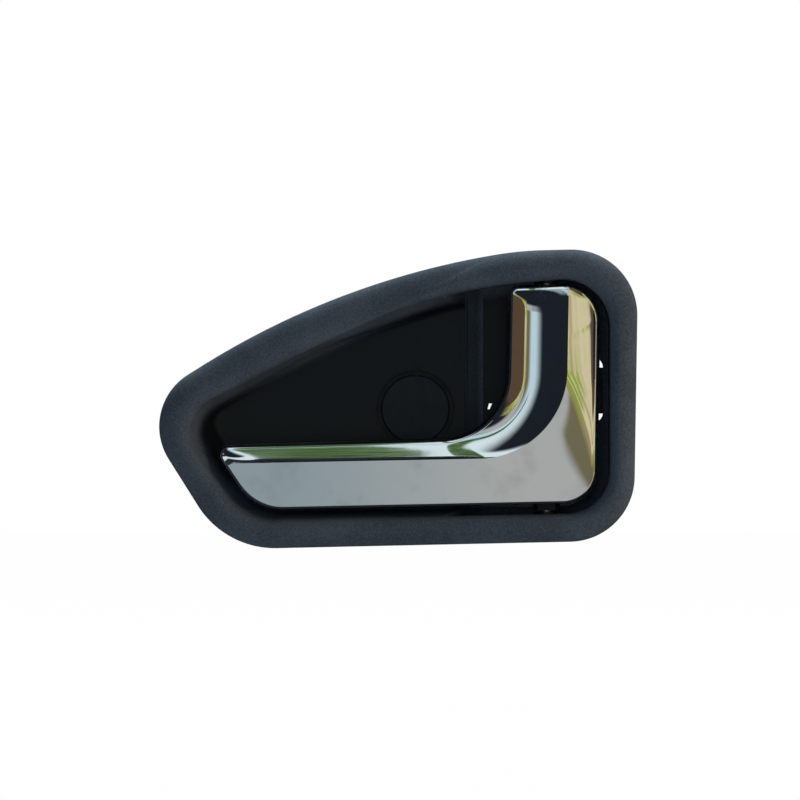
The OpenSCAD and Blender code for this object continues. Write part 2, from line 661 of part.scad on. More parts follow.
// Torsion spring: a coil with one leg to the carrier's post and one to the bezel's anchor
coil_facets = 16;
wire_facets = 6;
module return_spring() {
    turn = 360 * coil_turns + 270;
    count = round(turn / 360 * coil_facets);
    at_turn = function(k) let (a = 90 - turn * k / count)
        [hinge_x + coil_r * cos(a), hinge_y + coil_r * sin(a), mix(coil_low, coil_high, k / count)];
    path = concat([[post_x - 2.4, leg_y, coil_low], [hinge_x - 0.9, leg_y, coil_low]],
        [for (k = [0:count]) at_turn(k)],
        [[leg_x, hinge_y + 0.9, coil_high], [leg_x, pocket_y - 0.9, coil_high]]);
    last = len(path) - 1;
    rings = [for (i = [0:last])
        let (t = unit(path[min(last, i + 1)] - path[max(0, i - 1)]),
             side = unit(cross(t, [0, 0, 1])), up = cross(side, t))
        [for (k = [0:wire_facets - 1]) let (a = 360 * k / wire_facets)
            path[i] + wire_d / 2 * (side * cos(a) + up * sin(a))]];
    color([0.55, 0.56, 0.58]) loft(rings);
}

// Rubber stops
module rest_stop() {
    color([0.06, 0.06, 0.06])
        block([window_right + 0.3, lug_front - rest_pad_t, arm_low + 1.6],
              [lug_end - 0.1, lug_front, arm_high - 1.6]);
}
module open_stop() {
    color([0.06, 0.06, 0.06]) in_open_arm()
        block([open_face - open_pad_t, stop_from, stop_z - stop_w / 2 + 0.5],
              [open_face, stop_to - 0.5, stop_z + stop_w / 2 - 0.5]);
}

// Cover over the screw, with a stepped edge, a skirt and a pry notch
module screw_cap() {
    rim = cover_d / 2 - 0.2;
    face_r = cover_d / 2 - cover_ring_w;
    skirt = well_d / 2 - 0.3;
    skirt_h = 2.6;
    skirt_t = 1.1;
    color([0.15, 0.16, 0.17]) difference() {
        rotate([-90, 0, 0]) rotate_extrude() polygon([[0, floor_y], [face_r - 0.3, floor_y],
            [face_r, floor_y + 0.3], [face_r, ledge_y - 0.9],
            [rim, ledge_y - 0.9], [rim, ledge_y - slip_gap],
            [skirt, ledge_y - slip_gap], [skirt, ledge_y + skirt_h], [skirt - skirt_t, ledge_y + skirt_h],
            [skirt - skirt_t, ledge_y - 0.3], [0, ledge_y - 0.3]]);
        translate([-1, floor_y - 1, face_r - 0.7]) cube([2.2, 2, 1.4]);
    }
}
module screw_sleeve() {
    r = screw_hole_d / 2;
    flange_t = 0.6;
    flange_w = 1.5;
    color([0.7, 0.7, 0.72]) rotate([-90, 0, 0]) rotate_extrude()
        polygon([[r, -web_t - flange_t], [r + sleeve_wall + flange_w, -web_t - flange_t],
                 [r + sleeve_wall + flange_w, -web_t - eps], [r + sleeve_wall, -web_t - eps],
                 [r + sleeve_wall, 0], [r, 0]]);
}

// Swivelling clip for the latch rod
clip_body = [8, 8, 7.5];
module rod_clip() {
    top = arm_mid - tongue_t / 2 - slip_gap;
    color([0.85, 0.84, 0.78]) translate([arm_x, arm_end, 0]) difference() {
        union() {
            translate([0, 0, top - 0.5]) cylinder(r = pivot_r, h = tongue_t + 1.4);
            translate([0, 0, top + tongue_t + 2 * slip_gap])
                cylinder(r1 = pivot_r + 0.5, r2 = pivot_r - 0.4, h = 1.4);
            translate([0, 0, top - clip_body.z / 2]) cube(clip_body, center = true);
        }
        translate([0, 0, top - clip_body.z / 2]) rotate([0, 90, 0])
            cylinder(d = rod_d, h = 20, center = true);
        translate([-10, -0.5, top - clip_body.z - 1]) cube([20, 1, clip_body.z / 2 + 1 - rod_d / 2 + 0.4]);
    }
}

// Folded spring clip over a tab, with a barb on each side
module trim_clip(i) {
    half = tab_t / 2 + slip_gap;
    tip = seat_y + tab_len + slip_gap;
    root = seat_y + 2.2;
    barb = 1.3;
    side = [[half, tip], [half, tip - 2.2], [half + barb, tip - 4.8], [half + 0.3, root]];
    outside = [for (k = [0:len(side) - 1]) side[k] + [clip_t, k == 0 ? clip_t : 0]];
    color([0.5, 0.52, 0.55]) on_rim(i) rotate([90, 0, 90]) translate([0, 0, -4]) linear_extrude(8)
        polygon(concat([for (p = reversed(outside)) [p.y, p.x]], [for (p = outside) [p.y, -p.x]],
                       [for (p = reversed(side)) [p.y, -p.x]], [for (p = side) [p.y, p.x]]));
}

bezel();
lever_shell();
lever_carrier();
hinge_pin();
pin_ring();
upper_bush();
lower_bush();
return_spring();
rest_stop();
open_stop();
screw_cap();
screw_sleeve();
rod_clip();
shell_screw(screw_places[0]);  // shell_screw_1
shell_screw(screw_places[1]);  // shell_screw_2
shell_screw(screw_places[2]);  // shell_screw_3
shell_screw(screw_places[3]);  // shell_screw_4
trim_clip(clip_places[0]);  // trim_clip_1
trim_clip(clip_places[1]);  // trim_clip_2
trim_clip(clip_places[2]);  // trim_clip_3
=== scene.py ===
"""Looks of an inside door handle: a dark surround with a finger bowl, and a bright L-shaped pull lever."""

import math

import bmesh
import bpy
import numpy as np
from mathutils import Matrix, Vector


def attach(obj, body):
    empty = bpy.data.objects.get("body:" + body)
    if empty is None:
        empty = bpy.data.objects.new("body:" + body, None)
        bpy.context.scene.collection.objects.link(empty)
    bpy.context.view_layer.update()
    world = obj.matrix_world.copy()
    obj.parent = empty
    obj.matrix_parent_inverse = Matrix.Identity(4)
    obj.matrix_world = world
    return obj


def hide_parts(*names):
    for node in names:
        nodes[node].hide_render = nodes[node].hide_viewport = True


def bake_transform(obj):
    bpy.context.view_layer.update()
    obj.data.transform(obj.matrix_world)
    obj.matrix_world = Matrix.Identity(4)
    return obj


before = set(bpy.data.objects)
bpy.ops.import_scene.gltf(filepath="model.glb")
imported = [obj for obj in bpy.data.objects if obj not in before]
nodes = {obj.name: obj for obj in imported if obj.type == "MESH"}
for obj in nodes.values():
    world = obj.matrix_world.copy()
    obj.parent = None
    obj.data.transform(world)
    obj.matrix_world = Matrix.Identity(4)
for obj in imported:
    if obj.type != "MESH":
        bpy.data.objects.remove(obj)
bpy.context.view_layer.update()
MM = 0.001


# Surround. One dark injection moulding with a rolled, finely grained rim and a smooth finger bowl. Its
# outlines are corners (x, z, radius) in millimetres, joined by arcs, and the rings between them are lofted
# from back to front. Depths are in Y, which grows away from the cabin.
OUTER_CORNERS = [(-63.8, -47, 30.5), (-93.8, 0.7, 20.5), (-26.3, 42.9, 268),
                 (35, 53.2, 115), (74.8, 54.1, 22), (73.2, -44, 22)]
INNER_CORNERS = [(-57.4, -37.3, 18.5), (-81.4, -3.2, 12.5), (-33.7, 21, 159),
                 (11.9, 41, 161), (65.3, 44.7, 16), (65.4, -34.9, 15)]
FLOOR_CORNERS = [(-50.5, -33.8, 14), (-70.5, -2.5, 6), (-30, 21.5, 150),
                 (14, 35, 110), (62.8, 42, 14), (62.8, -33.2, 12)]
ARC_STEPS = 24
SEAT_Y, RIM_RISE, RIM_EDGE, FOOT_W, SKIN = -25.5, 6.5, 1.6, 2, 2.4
CROWN_Y = SEAT_Y - RIM_RISE
FLOOR_Y = CROWN_Y + 23
POCKET_Y = FLOOR_Y + 5.5
CROWN_AT, ROLL, ROLL_TURN = 0.62, 0.62 * RIM_RISE, 78
FLOOR_FILLET = 2


def unit(v):
    return v / np.linalg.norm(v)


def corner_arc(corners, i, n):
    """Points of the arc that rounds corner i, from the side before it to the side after it."""
    a, q, c = (np.array(corners[(i + k) % len(corners)][:2], float) for k in (-1, 0, 1))
    radius = corners[i % len(corners)][2]
    ua, uc = unit(a - q), unit(c - q)
    half = math.acos(float(ua @ uc)) / 2
    centre = q + unit(ua + uc) * radius / math.sin(half)
    first, final = (q + u * radius / math.tan(half) - centre for u in (ua, uc))
    start = math.atan2(first[1], first[0])
    turn = (math.atan2(final[1], final[0]) - start + 3 * math.pi) % (2 * math.pi) - math.pi
    angles = start + turn * np.arange(n + 1) / n
    return centre + radius * np.stack([np.cos(angles), np.sin(angles)], 1)


def outline(corners, n=ARC_STEPS):
    return np.concatenate([corner_arc(corners, i, n) for i in range(len(corners))])


def grow(ring, d):
    """Outward offset of a closed clockwise ring."""
    before = ring - np.roll(ring, 1, 0)
    after = np.roll(ring, -1, 0) - ring
    before /= np.linalg.norm(before, axis=1, keepdims=True)
    after /= np.linalg.norm(after, axis=1, keepdims=True)
    along = before + after
    along /= np.linalg.norm(along, axis=1, keepdims=True)
    reach = d / np.maximum(0.5, (along * after).sum(1))
    return ring + np.stack([-along[:, 1], along[:, 0]], 1) * reach[:, None]


def mix(a, b, t):
    return a + (b - a) * t


def at_y(ring, y):
    return np.stack([ring[:, 0], np.broadcast_to(y, len(ring)), ring[:, 1]], 1)


def solid(name, points, faces):
    """A mesh object from points in millimetres."""
    mesh = bpy.data.meshes.new(name)
    mesh.from_pydata([tuple(p) for p in np.asarray(points) * MM], [], [list(map(int, f)) for f in faces])
    shell = bmesh.new()
    shell.from_mesh(mesh)
    bmesh.ops.recalc_face_normals(shell, faces=shell.faces)
    shell.to_mesh(mesh)
    shell.free()
    obj = bpy.data.objects.new(name, mesh)
    bpy.context.scene.collection.objects.link(obj)
    return obj


def belts(first, count, rows):
    """Quads between successive rings of points that start at index first."""
    starts = [first + k * count for k in range(rows)]
    return [[a + i, a + (i + 1) % count, b + (i + 1) % count, b + i]
            for a, b in zip(starts, starts[1:]) for i in range(count)]


def loft(name, rings):
    n = len(rings[0])
    end = (len(rings) - 1) * n
    faces = [list(range(n))[::-1]] + belts(0, n, len(rings)) + [list(range(end, end + n))]
    return solid(name, np.concatenate(rings), faces)


def prism(ring, y0, y1):
    """A flat clockwise shape in X and Z, from depth y0 in front to y1 behind."""
    return loft("prism", [at_y(ring, y1), at_y(ring, y0)])


def block(low, high):
    (x0, y0, z0), (x1, y1, z1) = low, high
    return prism(np.array([(x0, z0), (x0, z1), (x1, z1), (x1, z0)], float), y0, y1)


def circle(r, centre=(0, 0), n=96):
    a = -2 * np.pi * np.arange(n) / n
    return np.stack([centre[0] + r * np.cos(a), centre[1] + r * np.sin(a)], 1)


def upright(r, low, high, centre, n=64):
    """A round bar along Z."""
    ring = circle(r, centre, n)
    rows = [np.stack([ring[:, 0], ring[:, 1], np.full(n, z)], 1) for z in (low, high)]
    return loft("bar", rows)


def boolean(obj, other, operation):
    step = obj.modifiers.new("cut", "BOOLEAN")
    step.operation, step.solver, step.object = operation, "MANIFOLD", other
    bpy.context.view_layer.objects.active = obj
    with bpy.context.temp_override(object=obj, active_object=obj):
        bpy.ops.object.modifier_apply(modifier=step.name)
    bpy.data.objects.remove(other)
    return obj


def joined(obj, *others):
    for other in others:
        boolean(obj, other, "UNION")
    return obj


def cut(obj, *others):
    for other in others:
        boolean(obj, other, "DIFFERENCE")
    return obj


outer_ring, inner_ring, floor_ring = (outline(c) for c in (OUTER_CORNERS, INNER_CORNERS, FLOOR_CORNERS))


def ring_between(share, y):
    return at_y(mix(outer_ring, inner_ring, share), y)


def turns(end, n, first=0):
    """Angles in radians, from first to end degrees in n equal steps."""
    return np.radians(np.linspace(first, end, n + 1))


back_rings = [at_y(grow(floor_ring, -0.6), FLOOR_Y + SKIN),
              at_y(grow(floor_ring, 0.75 * SKIN), FLOOR_Y + SKIN - FLOOR_FILLET),
              at_y(grow(mix(inner_ring, floor_ring, 0.12), SKIN), SEAT_Y),
              at_y(grow(inner_ring, 0.8 * SKIN), CROWN_Y + 1.4 * SKIN),
              ring_between(CROWN_AT, CROWN_Y + SKIN),
              ring_between(0.4 * CROWN_AT, CROWN_Y + 1.35 * SKIN),
              at_y(grow(outer_ring, -FOOT_W), SEAT_Y - 0.6 * RIM_EDGE),
              at_y(grow(outer_ring, -FOOT_W), SEAT_Y),
              at_y(grow(outer_ring, -0.15), SEAT_Y),
              at_y(outer_ring, SEAT_Y - 0.15)]
front_rings = [ring_between(CROWN_AT * (1 - math.cos(t)),
                            SEAT_Y - RIM_EDGE - (RIM_RISE - RIM_EDGE) * math.sin(t)) for t in turns(90, 18)]
roll_rings = [ring_between(CROWN_AT + (1 - CROWN_AT) * math.sin(t) / math.sin(math.radians(ROLL_TURN)),
                           CROWN_Y + ROLL * (1 - math.cos(t))) for t in turns(ROLL_TURN, 12)[1:]]
wall_foot = mix(inner_ring, floor_ring, 0.93)
floor_edge = grow(floor_ring, -0.8 * FLOOR_FILLET)
wall_rings = [at_y(mix(inner_ring, wall_foot, s), mix(roll_rings[-1][0][1], FLOOR_Y - FLOOR_FILLET, s))
              for s in (0.25, 0.5, 0.75, 0.92)]
fillet_rings = [at_y(mix(wall_foot, floor_edge, 1 - math.cos(t)), FLOOR_Y - FLOOR_FILLET * (1 - math.sin(t)))
                for t in turns(90, 8)]
surround = loft("surround_moulding", back_rings + front_rings + roll_rings + wall_rings + fillet_rings)


def right_of(line, reach=100):
    """Everything to the right of a line through [x, y] points."""
    shape = np.array(list(line) + [(reach, line[-1][1]), (reach, line[0][1])], float)
    n = len(shape)
    rows = [np.stack([shape[:, 0], shape[:, 1], np.full(n, z)], 1) for z in (-reach, reach)]
    return loft("right_of", rows)


def meet(obj, other):
    return boolean(obj, other, "INTERSECT")


def eased(a, q, c, n=8):
    """A soft corner at q between a and c."""
    a, q, c = (np.array(p, float) for p in (a, q, c))
    return [tuple(mix(mix(a, q, t), mix(q, c, t), t)) for t in np.linspace(0, 1, n + 1)]


# Deeper pocket behind the lever's upright limb. Its left end is a ramp that eases into the floor of the bowl.
POCKET_GAP, RAMP = 0.1, [(9, CROWN_Y + ROLL), (16.5, FLOOR_Y), (21.6, POCKET_Y)]
pocket_ring = grow(inner_ring, -POCKET_GAP)
pocket_back = POCKET_Y + SKIN
behind_ramp = [(x - SKIN, y) for (x, _), y in zip(RAMP, (SEAT_Y - 0.5, FLOOR_Y + SKIN, pocket_back))]
walls = meet(prism(grow(pocket_ring, SKIN), SEAT_Y - 0.5, pocket_back), right_of(behind_ramp))
cut(walls, loft("bowl_space", [at_y(grow(floor_ring, SKIN / 2), FLOOR_Y + SKIN / 2),
                               at_y(grow(inner_ring, SKIN / 2), CROWN_Y + ROLL)]))
pocket = meet(prism(pocket_ring, CROWN_Y + ROLL, POCKET_Y),
              right_of([RAMP[0]] + eased((15.9, -10.5), RAMP[1], (17.8, -7.6))
                       + eased((20.4, -4.8), RAMP[2], (22.8, POCKET_Y))))

# Screw well with its ledge for the cover, bosses for the hinge's bushes, and the ribs, tabs and hooks at the
# back. All of them are moulded in one with the surround.
LEDGE_Y, COVER_R, WELL_R, WELL_WALL, SLEEVE_R, WEB_T = FLOOR_Y + 2, 13.2, 9, 2.2, 3.53, 2.5
HINGE = (44, -18)
BUSH_R, BOSS_R, BOSS_LEN, COLLAR_R, COLLAR_SPACE = 3.2, 4.8, 4.8, 4.1, 2.4
ARM_MID, WINDOW_MID, WINDOW_UP, WINDOW_R = 6.3, 6.5, 10.75, 3
WINDOW = (34, 63.4, WINDOW_MID - WINDOW_UP, WINDOW_MID + WINDOW_UP)
SLOT = [(24.4, 0), (24.9, 1.9), (25.9, 1.9), (25.1, 0)]
TAB_INSET, CLIP_PLACES, HOOK_PLACES, HOOK_REACH = 4, (21, 30, 51), (40, 48), 2
RIB_H, RIB_SUNK = 3, 0.8


def tube(r, y0, y1):
    return prism(circle(r), y0, y1)


def wall_height(ring, x):
    """The two heights at which a ring crosses the vertical line at x."""
    a, b = ring, np.roll(ring, -1, 0)
    crossing = (a[:, 0] - x) * (b[:, 0] - x) <= 0
    a, b = a[crossing], b[crossing]
    t = (x - a[:, 0]) / np.where(b[:, 0] == a[:, 0], 1, b[:, 0] - a[:, 0])
    heights = mix(a[:, 1], b[:, 1], t)
    return heights.min(), heights.max()


wall_low, wall_top = wall_height(pocket_ring, HINGE[0])
rib_back = FLOOR_Y + SKIN
coarse_outer = outline(OUTER_CORNERS, 8)


def on_rim(i, low, high):
    """A block given along, into and across the rim, at place i on the rim."""
    along = unit(np.roll(coarse_outer, -1, 0)[i] - np.roll(coarse_outer, 1, 0)[i])
    out = np.array([-along[1], along[0]])
    p = coarse_outer[i] - out * TAB_INSET
    obj = block(low, high)
    for v in obj.data.vertices:
        x, y, z = v.co / MM
        place = p + along * x + out * z
        v.co = Vector((place[0], y, place[1])) * MM
    return obj


def rib(x0, x1, z0, z1):
    """A stiffening rib on the back of the bowl's floor."""
    return block((x0, rib_back - RIB_SUNK, z0), (x1, rib_back + RIB_H, z1))


# The rubber pad's rib stands square to the lever's rear arm when the lever is fully open.
stop_angle = math.radians(35)
OPEN_FACE, OPEN_PAD, STOP_RIB, STOP_W, STOP_UP, STOP_SPAN = 2.4, 2, 3, 8, 2.2, (13.5, 27.5)
stop_rib = block((OPEN_FACE - OPEN_PAD - STOP_RIB, STOP_SPAN[0], ARM_MID + STOP_UP - STOP_W / 2),
                 (OPEN_FACE - OPEN_PAD, STOP_SPAN[1], ARM_MID + STOP_UP + STOP_W / 2))
for v in stop_rib.data.vertices:
    x, y, z = v.co / MM
    v.co = Vector((HINGE[0] + x * math.cos(stop_angle) - y * math.sin(stop_angle),
                   HINGE[1] + x * math.sin(stop_angle) + y * math.cos(stop_angle), z)) * MM
meet(stop_rib, block((-100, pocket_back - 0.6, -100), (100, 100, 100)))

joined(surround, walls, tube(COVER_R + 2, FLOOR_Y + 1, LEDGE_Y + 2), tube(WELL_R + WELL_WALL, FLOOR_Y + 1, 0),
       upright(BOSS_R, wall_top + 0.5, wall_top + BOSS_LEN, HINGE),
       upright(BOSS_R, wall_low - BOSS_LEN, wall_low - 0.5, HINGE), stop_rib,
       rib(-52, -WELL_R - 1, 1.2, 2.8), rib(-0.8, 0.8, WELL_R + 1, 27),
       rib(-0.8, 0.8, -30, -WELL_R - 1), rib(-38.8, -37.2, -28, 13),
       *[on_rim(i, (-4.5, CROWN_Y + 0.6 * SKIN, -0.8), (4.5, SEAT_Y + 9, 0.8)) for i in CLIP_PLACES],
       *[on_rim(i, (-4, CROWN_Y + 0.6 * SKIN, -1.2), (4, SEAT_Y + 6.5, 1.2)) for i in HOOK_PLACES],
       *[on_rim(i, (-4, SEAT_Y + 4.3, -1.2), (4, SEAT_Y + 6.5, HOOK_REACH)) for i in HOOK_PLACES])
window_corners = [(WINDOW[0], WINDOW[2], WINDOW_R), (WINDOW[0], WINDOW[3], WINDOW_R),
                  (WINDOW[1], WINDOW[3], WINDOW_R), (WINDOW[1], WINDOW[2], WINDOW_R)]
cut(surround, pocket, prism(outline(window_corners, 12), FLOOR_Y, 0.3),
    prism(np.array(SLOT, float), FLOOR_Y, 0.3),
    tube(COVER_R, FLOOR_Y - 1, LEDGE_Y), tube(WELL_R, FLOOR_Y - 1, -WEB_T), tube(SLEEVE_R, -WEB_T - 1, 1),
    block((-1, FLOOR_Y - 1, COVER_R - 0.6), (1.6, FLOOR_Y + 1.2, COVER_R + 0.8)),
    upright(COLLAR_R + 0.3, wall_top - COLLAR_SPACE, wall_top, HINGE),
    upright(COLLAR_R + 0.3, wall_low, wall_low + COLLAR_SPACE, HINGE),
    upright(BUSH_R + 0.03, wall_top - 2, wall_top + BOSS_LEN + 2, HINGE),
    upright(BUSH_R + 0.03, wall_low - BOSS_LEN - 2, wall_low + 2, HINGE))
COIL_R, WIRE_D, COIL_LOW, COIL_TURNS, COIL_PITCH = 3.3, 1.2, 19.4, 4.75, 1.6
coil_high = COIL_LOW + COIL_TURNS * COIL_PITCH
leg_x = HINGE[0] - COIL_R
anchor_x = leg_x - WIRE_D / 2 - 0.05
ANCHOR_W, ANCHOR_H, ANCHOR_RISE = 3.35, 5, 5.5
GUARD_LOW, GUARD_HIGH = (22.9, POCKET_Y - 0.8, 2.4), (23.7, POCKET_Y + 0.5, 28.3)
joined(surround, block(GUARD_LOW, GUARD_HIGH),
       block((anchor_x - ANCHOR_W, POCKET_Y - ANCHOR_RISE, coil_high - ANCHOR_H / 2),
             (anchor_x, POCKET_Y + 0.5, coil_high + ANCHOR_H / 2)))


def shade(obj, angle=32):
    """Smooth faces, with edges kept where the surface turns sharply."""
    obj.data.polygons.foreach_set("use_smooth", [True] * len(obj.data.polygons))
    obj.data.set_sharp_from_angle(angle=math.radians(angle))
    weights = obj.modifiers.new("normals", "WEIGHTED_NORMAL")
    weights.keep_sharp = True
    return obj


def depth_inside(points, ring):
    """How far inside a closed ring each [x, z] point lies, negative outside it."""
    a, b = ring, np.roll(ring, -1, 0)
    ab = b - a
    p = points[:, None, :]
    t = np.clip(((p - a) * ab).sum(2) / np.maximum((ab * ab).sum(1), 1e-9), 0, 1)
    distance = np.linalg.norm(p - a - ab * t[..., None], axis=2).min(1)
    crossing = (a[:, 1] > p[..., 1]) != (b[:, 1] > p[..., 1])
    x_at = a[:, 0] + (p[..., 1] - a[:, 1]) * ab[:, 0] / np.where(ab[:, 1] == 0, 1e-9, ab[:, 1])
    inside = (crossing & (p[..., 0] < x_at)).sum(1) % 2 == 1
    return np.where(inside, distance, -distance)


shade(surround)
places = np.array([v.co for v in surround.data.vertices]) / MM
inward = surround.data.attributes.new("inward", "FLOAT", "POINT")
inward.data.foreach_set("value", depth_inside(places[:, [0, 2]], inner_ring).astype(np.float32))
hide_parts("bezel")
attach(surround, "surround")


class Wire:
    """A number in a finish's node tree, so that shader maths reads as a plain expression."""

    def __init__(self, finish, socket):
        self.finish, self.socket = finish, socket

    def __add__(self, other):
        return self.finish.maths("ADD", self, other)

    def __sub__(self, other):
        return self.finish.maths("SUBTRACT", self, other)

    def __rsub__(self, other):
        return self.finish.maths("SUBTRACT", other, self)

    def __mul__(self, other):
        return self.finish.maths("MULTIPLY", self, other)

    __radd__, __rmul__ = __add__, __mul__


class Finish:
    """The node tree of a new material, or of a new world, built node by node."""

    def __init__(self, name, kind="materials"):
        self.owner = getattr(bpy.data, kind).new(name)
        self.owner.use_nodes = True
        self.tree = self.owner.node_tree
        self.tree.nodes.clear()

    def node(self, kind, settings=None, sockets=None, output=0):
        """Adds a node, sets it, fills its sockets with values or wires, and gives back one output."""
        made = self.tree.nodes.new(kind)
        for key, value in (settings or {}).items():
            setattr(made, key, value)
        for key, value in (sockets or {}).items():
            if isinstance(value, Wire):
                self.tree.links.new(value.socket, made.inputs[key])
            else:
                made.inputs[key].default_value = value
        return Wire(self, made.outputs[output])

    def maths(self, operation, *values):
        return self.node("ShaderNodeMath", {"operation": operation}, dict(enumerate(values)))

    def vector(self, operation, a, b, output=0):
        return self.node("ShaderNodeVectorMath", {"operation": operation}, {0: a, 1: b}, output)

    def parts(self, vector):
        """The x, y and z of a vector."""
        return [self.node("ShaderNodeSeparateXYZ", {}, {0: vector}, k) for k in range(3)]

    def place(self):
        return self.node("ShaderNodeTexCoord", output="Object")

    def stretched(self, x, y, z):
        """Object coordinates in metres, scaled along each axis."""
        return self.vector("MULTIPLY", self.place(), (x, y, z))

    def noise(self, scale, detail=2, roughness=0.5, at=None):
        sockets = {"Vector": at or self.place(), "Scale": scale, "Detail": detail, "Roughness": roughness}
        return self.node("ShaderNodeTexNoise", {}, sockets)

    def step(self, value, low, high, first=0, final=1):
        """Eases from first to final while value goes from low to high."""
        return self.node("ShaderNodeMapRange", {"interpolation_type": "SMOOTHSTEP"},
                         {0: value, 1: low, 2: high, 3: first, 4: final})

    def colour(self, a, b, share):
        """Colour a where share is 0, b where it is 1."""
        return self.node("ShaderNodeMix", {"data_type": "RGBA"}, {0: share, 6: a, 7: b}, output=2)

    def bump(self, height, distance, strength):
        return self.node("ShaderNodeBump", {}, {"Height": height, "Distance": distance, "Strength": strength})

    def ends_in(self, shader, output="ShaderNodeOutputMaterial"):
        self.tree.links.new(shader.socket, self.tree.nodes.new(output).inputs["Surface"])
        return self

    def surface(self, **sockets):
        """Ends the tree in one Principled BSDF; socket names are written with underscores."""
        named = {k.replace("_", " "): v for k, v in sockets.items()}
        return self.ends_in(self.node("ShaderNodeBsdfPrincipled", {}, named))

    def on(self, *objs):
        for obj in objs:
            if not obj.material_slots:
                obj.data.materials.append(self.owner)
            for slot in obj.material_slots:
                slot.material = self.owner


def rgb(r, g, b):
    """A colour from its 0-255 screen values."""
    channel = [c / 255 for c in (r, g, b)]
    return tuple(c / 12.92 if c <= 0.04045 else ((c + 0.055) / 1.055) ** 2.4 for c in channel) + (1,)


# The surround's plastic: dark slate with a fine pebble grain on the rim and the back. Inside the bowl the
# tool was polished, so it is smoother there. The bowl's front is coloured darker, painted shade of the deep
# bowl, and the gaps below and right are coloured lighter, painted light reaching into them.
grain = Finish("slate_moulding")
facing = grain.parts(grain.node("ShaderNodeTexCoord", output="Normal"))[1]
inside_rim = grain.node("ShaderNodeAttribute", {"attribute_name": "inward"}, output="Fac")
# Painted shade: where this mask is 1, the front faces inside the bowl get a darker colour for the shade in
# the deep bowl; the same mask also makes the bowl smoother and less grained.
bowl_painted_shade_and_polish = grain.step(inside_rim, 1, 4.5) * grain.step(facing, 0.06, -0.02)
pebbles = grain.noise(1500, 2, 0.55)
patches = grain.noise(60, 3, 0.5)
mottle = grain.step(pebbles * 0.6 + patches * 0.4, 0.35, 0.65)
rim_colour = grain.colour(rgb(57, 64, 72), rgb(75, 83, 91), mottle)
along, _, up = grain.parts(grain.place())
# Painted light: the bowl right of the lever and below it gets a lighter, bluer colour, as if light from the
# front reached into the gaps.
painted_gap_light = grain.maths("MAXIMUM", grain.step(along, 0.05, 0.058), grain.step(up, -0.02, -0.03))
base = grain.colour(rim_colour, grain.colour(rgb(14, 18, 22), rgb(57, 72, 95), painted_gap_light), bowl_painted_shade_and_polish)
relief = grain.bump(pebbles * (1 - bowl_painted_shade_and_polish * 0.85), 0.00006, 0.7)
grain.surface(Base_Color=base, Roughness=grain.step(bowl_painted_shade_and_polish, 0, 1, 0.55, 0.4), Normal=relief,
              Specular_IOR_Level=0.2).on(surround)


# Cover of the fixing screw's well: a moulded disc with a stepped edge that clips into the bowl's floor. Its
# face is satin; the recessed step near the edge is coloured near black, painted shade in the groove.
satin = Finish("satin_cover")
radius = satin.vector("DISTANCE", satin.stretched(1, 0, 1), (0, 0, 0), "Value")
# Painted shade: everything beyond the face's edge, the recessed ring, is coloured near black.
painted_groove_shade = satin.step(radius, 0.0108, 0.0114)
face = satin.colour(rgb(12, 21, 29), rgb(16, 24, 34), satin.noise(90, 3))
satin.surface(Base_Color=satin.colour(face, rgb(3, 5, 7), painted_groove_shade), Specular_IOR_Level=0.2,
              Roughness=satin.step(satin.noise(300, 2), 0.3, 0.7, 0.36, 0.44),
              Normal=satin.bump(satin.noise(2600, 2), 0.00002, 0.5)).on(nodes["screw_cap"])

# Steel sleeve that the fixing screw clamps, so that the moulding isn't crushed. It is turned from tube and
# zinc-plated, which leaves it slightly yellow.
zinc = Finish("zinc_plate")
bloom = zinc.noise(420, 3)
plated = zinc.colour(rgb(176, 172, 158), rgb(196, 196, 192), zinc.step(bloom, 0.35, 0.65))
zinc.surface(Base_Color=plated, Metallic=1.0, Roughness=zinc.step(bloom, 0.3, 0.7, 0.28, 0.42),
             Normal=zinc.bump(zinc.noise(3000, 2), 0.000015, 0.4))
zinc.on(nodes["screw_sleeve"])


# Pull lever's shell. A chrome-plated moulding with a flat lower face, a crisp ridge, and a thumb scoop on
# its upright limb that sweeps down into the top band of the arm. Sections across it are drawn between three
# rails: the inner edge, the ridge and the outer edge.
LEVER_CORNERS = [(-53.8, -33.8, 18), (-68.1, -12.8, 2.9), (30.8, -10, 23),
                 (31.9, 40.6, 2.4), (61.5, 41.9, 11.7), (60.4, -31.4, 11.5)]
RIDGE_START, RIDGE_CORNER, RIDGE_TOP = (-62.4, -18.2), (50.4, -16, 30), (51.4, 40.8)
ARM, BEND, LIMB = 18, 18, 12
STEPS = ARM + BEND + LIMB
FINE = 5
LEVER_Y, LEVER_BACK, SHELL_WALL = CROWN_Y + 1.5, CROWN_Y + 12.2, 1.8
EDGE_R, DRAFT_W, LIP_W, LIP_H = 0.9, 0.3, 0.8, 1
SPLIT_AT, RIDGE_SPLIT_AT = 14, 11
SOFT, SOFT_SIGMA = 40, 7


def spaced(a, b, n):
    """Evenly spaced points from a to b."""
    a, b = np.array(a, float), np.array(b, float)
    return [mix(a, b, k / n) for k in range(n + 1)]


def walked(points):
    """Length of the way to each point along a line of points."""
    points = np.array(points)
    return np.concatenate([[0], np.cumsum(np.linalg.norm(np.diff(points, axis=0), axis=1))])


def evenly(points, n):
    """The same line in n equal lengths."""
    run = walked(points)
    at = np.linspace(0, run[-1], n + 1)
    points = np.array(points)
    return [np.array([np.interp(d, run, points[:, 0]), np.interp(d, run, points[:, 1])]) for d in at]


def bell(half, sigma):
    """Weights of a soft average over the neighbours up to half places away."""
    weights = np.exp(-0.5 * (np.arange(-half, half + 1) / sigma) ** 2)
    return weights / weights.sum()


